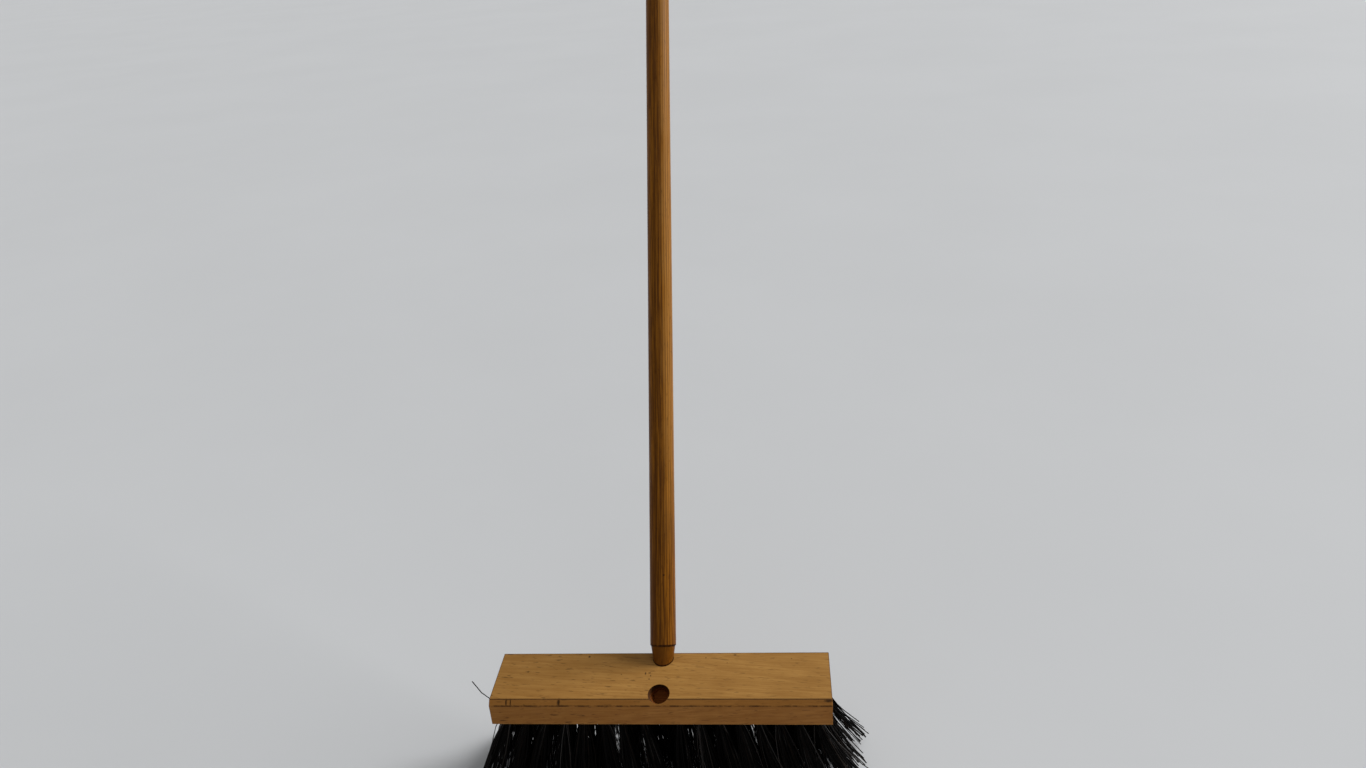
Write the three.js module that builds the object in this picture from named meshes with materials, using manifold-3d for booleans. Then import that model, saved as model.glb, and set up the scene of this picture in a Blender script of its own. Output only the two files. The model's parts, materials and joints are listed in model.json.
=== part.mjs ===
// Shop broom: a wooden block with two slanting sockets, a turned handle in the rear one, and tufts of coarse
// bristles in drilled holes.
// Millimetres, +Z up. The origin is the centre of the block's top face, +X runs along the block, and the handle
// leans towards +Y.
import * as THREE from "three";
import { mergeGeometries, mergeVertices } from "three/addons/utils/BufferGeometryUtils.js";
import Module from "manifold-3d";

// Block
const BLOCK_LENGTH = 355.6;
const BLOCK_WIDTH = 80;
const BLOCK_HEIGHT = 30;
const BLOCK_CHAMFER = 5;

// Handle
const HANDLE_LENGTH = 1524;
const HANDLE_DIAMETER = 28;
const HANDLE_TOP_ROUND = 11;
const SHOULDER_STEP = 0.9;
const SHOULDER_EASE = 0.8;
const SHOULDER_STANDOFF = 14;
const TAPER_PER_MM = 0.3;
const TAPER_END_EASE = 1;

// Sockets, one on each side of the block's centre line, that the handle's taper fits
const SOCKET_LEAN = THREE.MathUtils.degToRad(36);
const SOCKET_SETBACK = 26;
const SOCKET_FLOOR = 6.3;
const FIT_CLEARANCE = 0.3;
const TURNED_SIDES = 32;

// Tufts: a grid of drilled holes, left out where a hole would come too near a socket
const COLUMN_PITCH = 20.3;
const ROW_PITCH = 15;
const END_MARGIN = 15;
const SIDE_MARGIN = 9.5;
const TUFT_HOLE_DIAMETER = 6.8;
const TUFT_HOLE_DEPTH = 11;
const TUFT_HOLE_SIDES = 6;
const LEAST_WALL = 3;
const WEB_THICKNESS = 2.2;
const WEB_BORDER = 2.5;
const BRISTLE_BANKS = 4;

// Bristles: each strand starts at its tuft's root and fans outwards on the way to the sole
const BRISTLE_TRIM = 100;
const STRAND_DIAMETER = 2.4;
const STRAND_SIDES = 3;
const STRAND_SPACING = 2.8;
const STRAND_TIP_SPACING = 7.3;
const FAN_ALONG = 47;
const FAN_CURL = 14;
const FAN_ACROSS = 9;
const END_LIFT = 15;
const LIFTED_END = 50;
const STEPS_STRAIGHT = 2;
const STEPS_CURLED = 3;

// Finishes
const BLOCK_WOOD = new THREE.MeshStandardMaterial({ color: 0xc29558, roughness: 0.6, metalness: 0 });
const HANDLE_WOOD = new THREE.MeshStandardMaterial({ color: 0xa8682a, roughness: 0.35, metalness: 0 });
const FIBRE = new THREE.MeshStandardMaterial({ color: 0x17120f, roughness: 0.45, metalness: 0 });

// Sizes that follow from the driving dimensions
const underside = -BLOCK_HEIGHT;
const sole = underside - BRISTLE_TRIM;
const taperTopRadius = HANDLE_DIAMETER / 2 - SHOULDER_STEP;
const taperRadiusAt = (t) => taperTopRadius - (TAPER_PER_MM / 2) * (SHOULDER_STANDOFF - t);
const socketRadiusAt = (t) => taperRadiusAt(t) + FIT_CLEARANCE;
const socketDepth = deepestSocket();
const taperEnd = -socketDepth + FIT_CLEARANCE;
const columns = Math.floor((BLOCK_LENGTH - 2 * END_MARGIN) / COLUMN_PITCH) + 1;
const rows = Math.floor((BLOCK_WIDTH - 2 * SIDE_MARGIN) / ROW_PITCH) + 1;
const lastColumn = ((columns - 1) / 2) * COLUMN_PITCH;
const lastRow = ((rows - 1) / 2) * ROW_PITCH;
const webReach = TUFT_HOLE_DIAMETER / 2 + WEB_BORDER;

const wasm = await Module();
wasm.setup();

// The depth, along its axis, of a socket whose lowest edge leaves SOCKET_FLOOR of wood under it. The socket is
// tapered, so its end radius depends on the depth: depth * cos + radius * sin = height - floor.
function deepestSocket() {
  const reach = BLOCK_HEIGHT - SOCKET_FLOOR - socketRadiusAt(0) * Math.sin(SOCKET_LEAN);
  return reach / (Math.cos(SOCKET_LEAN) - (TAPER_PER_MM / 2) * Math.sin(SOCKET_LEAN));
}

// A closed geometry as a solid that can be joined and cut
function solidOf(geometry) {
  const bare = geometry.clone();
  bare.deleteAttribute("normal");
  bare.deleteAttribute("uv");
  const merged = mergeVertices(bare, 1e-4);
  const vertProperties = new Float32Array(merged.attributes.position.array);
  const triVerts = new Uint32Array(merged.index.array);
  return new wasm.Manifold(new wasm.Mesh({ numProp: 3, vertProperties, triVerts }));
}

// A solid as a geometry with flat faces
function geometryOf(solid) {
  const mesh = solid.getMesh();
  const geometry = new THREE.BufferGeometry();
  geometry.setAttribute("position", new THREE.BufferAttribute(new Float32Array(mesh.vertProperties), 3));
  geometry.setIndex(new THREE.BufferAttribute(new Uint32Array(mesh.triVerts), 1));
  const flat = geometry.toNonIndexed();
  flat.computeVertexNormals();
  return flat;
}

function boxBetween(low, high) {
  const size = new THREE.Vector3().subVectors(high, low);
  const middle = new THREE.Vector3().addVectors(low, high).multiplyScalar(0.5);
  return new THREE.BoxGeometry(size.x, size.y, size.z).translate(middle.x, middle.y, middle.z);
}

// A turned shape about +Z from [radius, height] pairs that start and end on the axis
function turned(profile) {
  const points = profile.map(([radius, height]) => new THREE.Vector2(radius, height));
  return new THREE.LatheGeometry(points, TURNED_SIDES).rotateX(Math.PI / 2);
}

// Places a shape made about +Z at a socket's mouth: side is +1 for the rear socket and -1 for the front one
function atSocket(geometry, side) {
  return geometry.rotateX(-side * SOCKET_LEAN).translate(0, side * SOCKET_SETBACK, 0);
}

// The hollow that a socket's tapered drill leaves, from its floor to well clear of the block's top face
function socketHollow(side) {
  const clear = SHOULDER_STANDOFF;
  const profile = [
    [0, -socketDepth],
    [socketRadiusAt(-socketDepth), -socketDepth],
    [socketRadiusAt(clear), clear],
    [0, clear],
  ];
  return solidOf(atSocket(turned(profile), side));
}

// Whether a tuft's hole would leave less than LEAST_WALL of wood beside either socket
function meetsSocket(x, y) {
  const reach = TUFT_HOLE_DIAMETER / 2;
  for (const side of [-1, 1]) {
    for (let k = 0; k < 4 * TUFT_HOLE_SIDES; k++) {
      const angle = (k / (4 * TUFT_HOLE_SIDES)) * 2 * Math.PI;
      const rim = new THREE.Vector3(
        x + reach * Math.cos(angle),
        y + reach * Math.sin(angle) - side * SOCKET_SETBACK,
        underside + TUFT_HOLE_DEPTH,
      );
      rim.applyAxisAngle(new THREE.Vector3(1, 0, 0), side * SOCKET_LEAN);
      const beside = Math.hypot(rim.x, rim.y) < socketRadiusAt(rim.z) + LEAST_WALL;
      if (beside && rim.z > -socketDepth - LEAST_WALL) return true;
    }
  }
  return false;
}

// The tufts of one column, as points on the block's underside
function tuftsOfColumn(column) {
  const x = column * COLUMN_PITCH - lastColumn;
  const tufts = [];
  for (let row = 0; row < rows; row++) {
    const y = row * ROW_PITCH - lastRow;
    if (!meetsSocket(x, y)) tufts.push(new THREE.Vector2(x, y));
  }
  return tufts;
}

// A six-sided prism about a tuft's axis, from the height low to the height high
function tuftPrism(tuft, radius, low, high) {
  const prism = new THREE.CylinderGeometry(radius, radius, high - low, TUFT_HOLE_SIDES);
  return prism.rotateX(Math.PI / 2).translate(tuft.x, tuft.y, (low + high) / 2);
}

// Where a strand is at the share s of its way from its tuft to its tip. It fans outwards, the more so the nearer it
// stands to an end of the block, FAN_CURL of that way as a curl, and the tips are lifted in the last LIFTED_END.
function strandPoint(root, tuft, s) {
  const out = lastColumn > 0 ? root.x / lastColumn : 0;
  const over = lastRow > 0 ? root.y / lastRow : 0;
  const fan = out * Math.sqrt(Math.abs(out));
  const splay = (s * (STRAND_TIP_SPACING - STRAND_SPACING)) / STRAND_SPACING;
  const lift = END_LIFT * THREE.MathUtils.smoothstep(Math.abs(root.x), lastColumn - LIFTED_END, lastColumn);
  return new THREE.Vector3(
    root.x + splay * (root.x - tuft.x) + fan * ((FAN_ALONG - FAN_CURL) * s + FAN_CURL * s * s),
    root.y + splay * (root.y - tuft.y) + FAN_ACROSS * over * s,
    underside + (sole + lift - underside) * s,
  );
}

// One strand: level three-sided rings from inside the web to a flat tip
function strand(root, tuft) {
  const steps = Math.abs(tuft.x) > lastColumn - LIFTED_END ? STEPS_CURLED : STEPS_STRAIGHT;
  const centres = [new THREE.Vector3(root.x, root.y, underside + WEB_THICKNESS / 2)];
  for (let k = 1; k <= steps; k++) centres.push(strandPoint(root, tuft, k / steps));
  const outward = Math.atan2(root.y - tuft.y, root.x - tuft.x);
  const positions = [];
  for (const centre of centres) {
    for (let k = 0; k < STRAND_SIDES; k++) {
      const angle = outward + (k / STRAND_SIDES) * 2 * Math.PI;
      positions.push(
        centre.x + (STRAND_DIAMETER / 2) * Math.cos(angle),
        centre.y + (STRAND_DIAMETER / 2) * Math.sin(angle),
        centre.z,
      );
    }
  }
  const faces = [];
  for (let ring = 0; ring < centres.length - 1; ring++) {
    for (let k = 0; k < STRAND_SIDES; k++) {
      const a = ring * STRAND_SIDES + k;
      const b = ring * STRAND_SIDES + ((k + 1) % STRAND_SIDES);
      faces.push(a, a + STRAND_SIDES, b, b, a + STRAND_SIDES, b + STRAND_SIDES);
    }
  }
  const tip = (centres.length - 1) * STRAND_SIDES;
  for (let k = 1; k < STRAND_SIDES - 1; k++) {
    faces.push(0, k, k + 1);
    faces.push(tip, tip + k + 1, tip + k);
  }
  const geometry = new THREE.BufferGeometry();
  geometry.setAttribute("position", new THREE.Float32BufferAttribute(positions, 3));
  geometry.setIndex(faces);
  return geometry;
}

// The four strands of a tuft
function tuftStrands(tuft) {
  const strands = [];
  for (const dx of [-1, 1]) {
    for (const dy of [-1, 1]) {
      const root = new THREE.Vector2(dx, dy).multiplyScalar(STRAND_SPACING / 2).add(tuft);
      strands.push(strand(root, tuft));
    }
  }
  return strands;
}

// Block: a chamfered bar with the sockets, the tuft holes and a shallow bed for the tufts' web cut away
function makeBlock(tufts) {
  const half = BLOCK_WIDTH / 2;
  const section = new THREE.Shape([
    new THREE.Vector2(-half, underside),
    new THREE.Vector2(half, underside),
    new THREE.Vector2(half, -BLOCK_CHAMFER),
    new THREE.Vector2(half - BLOCK_CHAMFER, 0),
    new THREE.Vector2(BLOCK_CHAMFER - half, 0),
    new THREE.Vector2(-half, -BLOCK_CHAMFER),
  ]);
  const bar = new THREE.ExtrudeGeometry(section, { depth: BLOCK_LENGTH, bevelEnabled: false });
  bar.translate(0, 0, -BLOCK_LENGTH / 2).rotateX(Math.PI / 2).rotateZ(Math.PI / 2);
  const bedX = lastColumn + webReach + FIT_CLEARANCE;
  const bedY = lastRow + webReach + FIT_CLEARANCE;
  const bedTop = underside + WEB_THICKNESS + FIT_CLEARANCE;
  const bed = boxBetween(
    new THREE.Vector3(-bedX, -bedY, underside - WEB_THICKNESS),
    new THREE.Vector3(bedX, bedY, bedTop),
  );
  const holes = tufts.map((tuft) =>
    tuftPrism(tuft, TUFT_HOLE_DIAMETER / 2, underside + WEB_THICKNESS / 2, underside + TUFT_HOLE_DEPTH),
  );
  const solid = solidOf(bar)
    .subtract(socketHollow(-1))
    .subtract(socketHollow(1))
    .subtract(solidOf(bed).add(solidOf(mergeGeometries(holes))));
  const block = new THREE.Mesh(geometryOf(solid), BLOCK_WOOD);
  block.name = "block";
  return block;
}

// Handle: a straight pole with a rounded top, a shoulder, and a taper that stands in the rear socket
function makeHandle() {
  const radius = HANDLE_DIAMETER / 2;
  const top = taperEnd + HANDLE_LENGTH;
  const profile = [
    [0, taperEnd],
    [taperRadiusAt(taperEnd) - TAPER_END_EASE, taperEnd],
    [taperRadiusAt(taperEnd + TAPER_END_EASE), taperEnd + TAPER_END_EASE],
    [taperTopRadius, SHOULDER_STANDOFF],
    [radius - SHOULDER_EASE, SHOULDER_STANDOFF],
    [radius, SHOULDER_STANDOFF + SHOULDER_EASE],
  ];
  const roundSteps = 4;
  for (let k = 0; k <= roundSteps; k++) {
    const angle = (k / roundSteps) * (Math.PI / 2);
    const inset = HANDLE_TOP_ROUND * (1 - Math.cos(angle));
    profile.push([radius - inset, top - HANDLE_TOP_ROUND * (1 - Math.sin(angle))]);
  }
  profile.push([0, top]);
  const handle = new THREE.Mesh(turned(profile), HANDLE_WOOD);
  handle.name = "handle";
  return handle;
}

// One bank of bristles: neighbouring columns of tufts on a web, with a root in each hole and strands below it
function makeBank(name, tufts, low, high) {
  const web = boxBetween(
    new THREE.Vector3(low, -lastRow - webReach, underside),
    new THREE.Vector3(high, lastRow + webReach, underside + WEB_THICKNESS),
  );
  const rootRadius = TUFT_HOLE_DIAMETER / 2 - FIT_CLEARANCE;
  const rootTop = underside + TUFT_HOLE_DEPTH - FIT_CLEARANCE;
  const roots = tufts.map((tuft) => tuftPrism(tuft, rootRadius, underside + WEB_THICKNESS / 2, rootTop));
  const strands = tufts.flatMap(tuftStrands);
  const solid = solidOf(web)
    .add(solidOf(mergeGeometries(roots)))
    .add(solidOf(mergeGeometries(strands)));
  const bank = new THREE.Mesh(geometryOf(solid), FIBRE);
  bank.name = name;
  return bank;
}

// The banks stand side by side along the block, and their webs meet halfway between two columns
function makeBanks(columnTufts) {
  const banks = new THREE.Group();
  for (let bank = 0; bank < BRISTLE_BANKS; bank++) {
    const first = Math.round((bank * columns) / BRISTLE_BANKS);
    const next = Math.round(((bank + 1) * columns) / BRISTLE_BANKS);
    const leftmost = bank === 0;
    const rightmost = bank === BRISTLE_BANKS - 1;
    const before = (first - 0.5) * COLUMN_PITCH - lastColumn;
    const after = (next - 0.5) * COLUMN_PITCH - lastColumn;
    const low = leftmost ? -lastColumn - webReach : before + FIT_CLEARANCE / 2;
    const high = rightmost ? lastColumn + webReach : after - FIT_CLEARANCE / 2;
    banks.add(makeBank(`bristle_bank_${bank + 1}`, columnTufts.slice(first, next).flat(), low, high));
  }
  return banks;
}

const columnTufts = Array.from({ length: columns }, (_, column) => tuftsOfColumn(column));

const handleInSocket = new THREE.Group();
handleInSocket.position.set(0, SOCKET_SETBACK, 0);
handleInSocket.rotation.x = -SOCKET_LEAN;
handleInSocket.add(makeHandle());

const broom = new THREE.Group();
broom.add(makeBlock(columnTufts.flat()), handleInSocket, makeBanks(columnTufts));

export default broom;
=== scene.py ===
import json
import math

import bmesh
import bpy
import numpy as np
from bpy.props import FloatProperty, FloatVectorProperty, IntProperty, PointerProperty
from mathutils import Matrix, Vector


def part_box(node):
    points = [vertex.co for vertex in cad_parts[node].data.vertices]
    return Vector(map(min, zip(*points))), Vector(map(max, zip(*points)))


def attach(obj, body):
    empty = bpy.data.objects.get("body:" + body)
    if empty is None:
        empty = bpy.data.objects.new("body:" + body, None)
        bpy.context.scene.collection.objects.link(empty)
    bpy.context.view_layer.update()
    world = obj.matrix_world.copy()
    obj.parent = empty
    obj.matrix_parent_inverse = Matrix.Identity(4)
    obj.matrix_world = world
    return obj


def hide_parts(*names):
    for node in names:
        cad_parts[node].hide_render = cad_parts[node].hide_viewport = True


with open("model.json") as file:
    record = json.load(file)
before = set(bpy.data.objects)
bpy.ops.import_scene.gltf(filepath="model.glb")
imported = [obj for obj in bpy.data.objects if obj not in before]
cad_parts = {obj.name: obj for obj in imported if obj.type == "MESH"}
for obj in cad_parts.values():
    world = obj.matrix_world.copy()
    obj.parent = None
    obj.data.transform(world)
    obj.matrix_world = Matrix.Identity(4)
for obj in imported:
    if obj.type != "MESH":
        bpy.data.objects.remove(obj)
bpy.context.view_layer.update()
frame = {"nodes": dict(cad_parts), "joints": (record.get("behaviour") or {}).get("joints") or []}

bl_info = {
    "name": "Shop broom",
    "version": (1, 0, 0),
    "blender": (4, 5, 0),
    "location": "View3D > Sidebar > Broom",
    "description": "Dresses the packed frame of a shop broom: block, handle, bristles and a plain stage",
    "category": "Object",
}

SEED = 1524


# What the frame says of the broom's places, in metres

SAME_LEVEL = 1e-5
TUFT_REACH = 0.008
TUFT_DIGITS = 4
BANKS = sorted(name for name in frame["nodes"] if name.startswith("bristle_bank"))
block_low, block_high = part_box("block")
draw_axis = Vector(frame["joints"][0]["axis"]).normalized()


def node_points(name):
    """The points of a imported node, in metres."""
    mesh = frame["nodes"][name].data
    points = np.empty(3 * len(mesh.vertices))
    mesh.vertices.foreach_get("co", points)
    return points.reshape(-1, 3)


def chamfer_of_block():
    """The width of the chamfers along the block's top."""
    points = node_points("block")
    level = points[points[:, 2] > block_high.z - SAME_LEVEL]
    return block_high.y - level[:, 1].max()


def pole_line():
    """Where the pole's axis meets the block's top face, the pole's radius, and its ends along the axis."""
    points = node_points("handle")
    across = np.array(draw_axis.cross(Vector((1, 0, 0))))
    beside = points @ across
    middle = (beside.min() + beside.max()) / 2
    on_axis = Vector(across * middle)
    mouth = on_axis + draw_axis * ((block_high.z - on_axis.z) / draw_axis.z)
    along = (points - np.array(mouth)) @ np.array(draw_axis)
    return mouth, (beside.max() - beside.min()) / 2, along.min(), along.max()


def tufts_of_bank(name):
    """The middles of a bank's tufts, from the tops of its roots."""
    points = node_points(name)
    tops = points[points[:, 2] > points[:, 2].max() - SAME_LEVEL][:, :2]
    middles = []
    while len(tops):
        near = np.hypot(*(tops - tops[0]).T) < TUFT_REACH
        middles.append(tops[near].mean(axis=0).round(TUFT_DIGITS))
        tops = tops[~near]
    return sorted(map(tuple, middles))


chamfer = chamfer_of_block()
chamfer_middle = Vector((0, block_low.y + chamfer / 2, block_high.z - chamfer / 2))
mouth, pole_radius, taper_end, pole_top = pole_line()
lean = math.atan2(draw_axis.y, draw_axis.z)
tufts = {bank: tufts_of_bank(bank) for bank in BANKS}
last_column = max(abs(x) for bank in BANKS for x, y in tufts[bank])
rows = sorted({y for bank in BANKS for x, y in tufts[bank]})
last_row = rows[-1]
sole = min(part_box(bank)[0].z for bank in BANKS)


# Sizes and colours that a user would change


def setting(kind, **limits):
    """A maker of settings of one kind."""

    def make(name, description, default):
        return kind(name=name, description=description, default=default, **limits)

    return make


def colour(name, description, default):
    make = setting(FloatVectorProperty, size=4, min=0.0, max=1.0, subtype="COLOR")
    return make(name, description, (*default, 1.0))


length = setting(FloatProperty, min=0.0, unit="LENGTH", precision=5)
share = setting(FloatProperty, min=0.0, max=1.0, subtype="FACTOR")
brightness = setting(FloatProperty, min=0.0)
whole_number = setting(IntProperty, min=3)


class BroomBlock(bpy.types.PropertyGroup):
    arris_ease: length("Arris ease", "Rounding of the block's edges", 0.0007)
    rim_ease: length("Rim ease", "Rounding of the sockets' worn rims", 0.0005)
    socket_clearance: length("Socket clearance", "Gap between a socket and the handle's taper", 0.0003)
    hole_diameter: length("Tuft hole diameter", "Diameter of a drilled tuft hole", 0.0068)
    hole_depth: length("Tuft hole depth", "Depth of a drilled tuft hole", 0.011)
    nick_width: length("Nick width", "Width of a plain nick in the front chamfer", 0.0009)
    nick_depth: length("Nick depth", "Depth of a nick in the front chamfer", 0.0006)
    pale: colour("Pale wood", "Early wood of the block", (0.425, 0.222, 0.058))
    # Also the colour of the front chamfer's painted shade
    dark: colour("Dark wood", "Late wood of the block", (0.245, 0.108, 0.021))
    # Also the colour of the painted shade inside the sockets' mouths
    soil: colour("Soil", "Dirt in the block's pores and along its edges", (0.040, 0.015, 0.003))
    inside: colour("Bored wood", "Wood inside the sockets and the tuft holes", (0.290, 0.080, 0.010))


class BroomHandle(bpy.types.PropertyGroup):
    sides: whole_number("Sides", "Facets round the pole", 64)
    shoulder_height: length("Shoulder height", "Height of the shoulder over the socket's mouth", 0.014)
    shoulder_step: length("Shoulder step", "How far the shoulder stands out from the taper", 0.0009)
    shoulder_ease: length("Shoulder ease", "Rounding of the shoulder's edge", 0.0008)
    taper: share("Taper", "Loss of diameter, as a share of the taper's length", 0.30)
    end_ease: length("Taper end ease", "Rounding of the taper's end", 0.001)
    top_round: length("Top round", "Rounding of the pole's top", 0.011)
    pale: colour("Pale wood", "Early wood of the pole under its lacquer", (0.325, 0.118, 0.009))
    dark: colour("Dark wood", "Late wood of the pole under its lacquer", (0.082, 0.024, 0.002))
    # A painted highlight: a paler colour along the pole's right side, where the key light falls
    painted_highlight: colour("Sapwood", "Paler wood along the right side of the pole", (0.520, 0.240, 0.050))
    taper_wood: colour("Taper wood", "Bare wood of the turned taper", (0.180, 0.062, 0.005))
    # Also the colour of the painted shadow where the taper meets the socket's rim
    soil: colour("Soil", "Dirt at the shoulder and in the pole's dents", (0.020, 0.004, 0.001))


class BroomBristles(bpy.types.PropertyGroup):
    fibres: whole_number("Fibres", "Fibres in a tuft", 36)
    diameter: length("Diameter", "Diameter of a fibre", 0.0013)
    root_radius: length("Root radius", "Radius of a tuft where it leaves its hole", 0.0027)
    tip_radius: length("Tip radius", "Radius of a tuft at its tips", 0.0094)
    fan_along: length("Fan along", "Lean of the last tufts along the block", 0.0386)
    fan_curl: length("Fan curl", "Part of that lean that is a curl, at the right end", 0.019)
    fan_across: length("Fan across", "Lean of the outer rows across the block", 0.009)
    fan_skew: share("Fan skew", "Added lean of the front left and rear right tufts", 0.11)
    lifted_end: length("Lifted end", "Length at each end in which the tips are lifted", 0.050)
    end_lift: length("End lift", "Lift of the last tufts' tips off the floor", 0.0087)
    sweep: length("Sweep", "Bend of the middle tufts' tips to one side", 0.0041)
    closing: length("Closing", "Lean of the tufts beside the sockets into the gap", 0.0283)
    tuft_lean: length("Tuft lean", "Lean of a tuft's tips from their place", 0.0055)
    row_lean: length("Row lean", "Lean of the rows' tips, to and fro along the block", 0.0046)
    stray: length("Stray", "Wander of a fibre's tip from its tuft", 0.0022)
    loose_share: share("Loose fibres", "Share of the fibres that are loose", 0.59)
    loose_stray: length("Loose stray", "Wander of a loose fibre's tip from its tuft", 0.0059)
    bow: length("Bow", "Bend of a fibre on its way down", 0.0032)
    body: colour("Body", "Colour of a fibre", (0.0024, 0.0019, 0.0016))
    brown: colour("Brown", "Colour of the browner fibres", (0.019, 0.0125, 0.0090))


class BroomStage(bpy.types.PropertyGroup):
    floor: colour("Floor", "Colour of the floor", (0.60, 0.61, 0.62))
    floor_radius: length("Floor radius", "Radius of the floor", 40.0)
    key: brightness("Key", "Strength of the lamp at the right", 3.0)
    overhead: brightness("Overhead", "Strength of the lamp overhead", 0.5)
    sky: share("Sky", "Strength of the even light from all round", 0.23)
    backdrop: share("Backdrop", "Brightness of the background, in the floor's colour", 0.91)


# Meshes of the block and the handle

# Material numbers of the block's faces and of its bored walls
FACE, BORE = 0, 1
# Steps in a round, the profile of an even one, and the degrees at which one starts in a turned shape
ARRIS_STEPS, RIM_STEPS, EASE_STEPS, TOP_STEPS = 3, 2, 3, 8
EVEN_ROUND = 0.5
LOWER, UPPER = -90, 0
# How many chamfers deep a socket's rim may lie
RIM_CHAMFERS = 2
# Degrees from which an edge is shaded sharp
BLOCK_CREASE, HANDLE_CREASE = 40, 50
HOLE_SIDES = 16
# Place and width, in plain nicks, of each nick in the front chamfer
NICKS = ((-0.1596, 1.4), (-0.1550, 0.9), (-0.1040, 2.4))


def add_object(name, data):
    made = bpy.data.objects.new(name, data)
    bpy.context.scene.collection.objects.link(made)
    return made


def mesh_from(name, bm):
    mesh = bpy.data.meshes.new(name)
    bm.normal_update()
    bm.to_mesh(mesh)
    bm.free()
    return mesh


def turned(bm, profile, sides, place=Matrix.Identity(4), material=FACE):
    """Adds a closed turned shape about +Z from (radius, height) pairs that start and end on the axis."""
    angles = [2 * math.pi * k / sides for k in range(sides)]
    rings = []
    for radius, height in profile:
        if radius == 0:
            ring = [Vector((0, 0, height))]
        else:
            ring = [Vector((radius * math.cos(a), radius * math.sin(a), height)) for a in angles]
        rings.append([bm.verts.new(place @ point) for point in ring])
    for low, high in zip(rings, rings[1:]):
        for k in range(sides):
            corners = [low[step % len(low)] for step in (k, k + 1)]
            corners += [high[step % len(high)] for step in (k + 1, k)]
            face = bm.faces.new(list(dict.fromkeys(corners)))
            face.material_index = material


def rounded(radius, height, ease, steps, start):
    """Points on a corner's quarter round, from start degrees: LOWER or UPPER, as the corner is."""
    middle = height + ease if start == LOWER else height - ease
    points = []
    for k in range(steps + 1):
        angle = math.radians(start + 90 * k / steps)
        points.append((radius - ease + ease * math.cos(angle), middle + ease * math.sin(angle)))
    return points


def ease_edges(bm, edges, ease, steps, **settings):
    bmesh.ops.bevel(
        bm, geom=edges, offset=ease, segments=steps, profile=EVEN_ROUND, affect="EDGES", clamp_overlap=True,
        **settings,
    )


def taper_radius(height):
    """The taper's radius at a height along its axis over the socket's mouth."""
    handle = bpy.context.scene.broom_handle
    return pole_radius - handle.shoulder_step - handle.taper / 2 * (handle.shoulder_height - height)


def socket_place(side):
    """Where a socket's axis starts and how it leans: side 1 is the rear socket, side -1 the front one."""
    return Matrix.Translation((mouth.x, side * mouth.y, mouth.z)) @ Matrix.Rotation(-side * lean, 4, "X")


def chamfered_bar(ease):
    """The block before it is drilled, with all its edges eased."""
    bm = bmesh.new()
    section = [
        (block_low.y, block_low.z),
        (block_high.y, block_low.z),
        (block_high.y, block_high.z - chamfer),
        (block_high.y - chamfer, block_high.z),
        (block_low.y + chamfer, block_high.z),
        (block_low.y, block_high.z - chamfer),
    ]
    ends = [[bm.verts.new((x, y, z)) for y, z in section] for x in (block_low.x, block_high.x)]
    bm.faces.new(reversed(ends[0]))
    bm.faces.new(ends[1])
    for k in range(len(section)):
        after = (k + 1) % len(section)
        bm.faces.new((ends[0][k], ends[0][after], ends[1][after], ends[1][k]))
    ease_edges(bm, list(bm.edges), ease, ARRIS_STEPS)
    bmesh.ops.recalc_face_normals(bm, faces=list(bm.faces))
    return mesh_from("block", bm)


def add_sockets(bm, block):
    """Both sockets, carried on past the block's top face."""
    handle = bpy.context.scene.broom_handle
    floor, clear = taper_end - block.socket_clearance, handle.shoulder_height
    wall = [(taper_radius(height) + block.socket_clearance, height) for height in (floor, clear)]
    for side in (-1, 1):
        turned(bm, [(0, floor), *wall, (0, clear)], handle.sides, socket_place(side), BORE)


def add_tuft_holes(bm, block):
    """The drilled holes in the block's underside, each with a pointed end."""
    radius = block.hole_diameter / 2
    under = block_low.z - radius
    top = block_low.z + block.hole_depth
    hole = [(0, under), (radius, under), (radius, top), (0, top + radius / 2)]
    for bank in BANKS:
        for x, y in tufts[bank]:
            turned(bm, hole, HOLE_SIDES, Matrix.Translation((x, y, 0)), BORE)


def add_nicks(bm, block):
    """Grooves of three sides that run up the front chamfer."""
    deep = Vector((0, -1, 1)).normalized() * block.nick_depth
    run = Vector((0, 1, 1)).normalized() * chamfer
    for x, widths in NICKS:
        middle = chamfer_middle + Vector((x, 0, 0))
        wide = Vector((block.nick_width * widths, 0, 0))
        section = (middle - deep, middle + deep + wide, middle + deep - wide)
        ends = [[bm.verts.new(point + run * way) for point in section] for way in (-1, 1)]
        faces = [ends[0], ends[1][::-1]]
        faces += [(ends[0][k], ends[1][k], ends[1][k - 2], ends[0][k - 2]) for k in range(3)]
        for corners in faces:
            bm.faces.new(corners)


def drilled_hollows(block):
    """All that is cut from the bar."""
    bm = bmesh.new()
    add_sockets(bm, block)
    add_tuft_holes(bm, block)
    add_nicks(bm, block)
    bmesh.ops.recalc_face_normals(bm, faces=list(bm.faces))
    return mesh_from("hollows", bm)


def cut_away(bar, hollows):
    """The bar's mesh with the hollows cut from it; the cut faces keep the hollows' material."""
    cut = bar.modifiers.new("cut", "BOOLEAN")
    cut.operation = "DIFFERENCE"
    cut.solver = "EXACT"
    cut.material_mode = "INDEX"
    cut.object = hollows
    evaluated = bar.evaluated_get(bpy.context.evaluated_depsgraph_get())
    mesh = bpy.data.meshes.new_from_object(evaluated)
    bar.modifiers.remove(cut)
    bpy.data.objects.remove(hollows)
    return mesh


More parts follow.
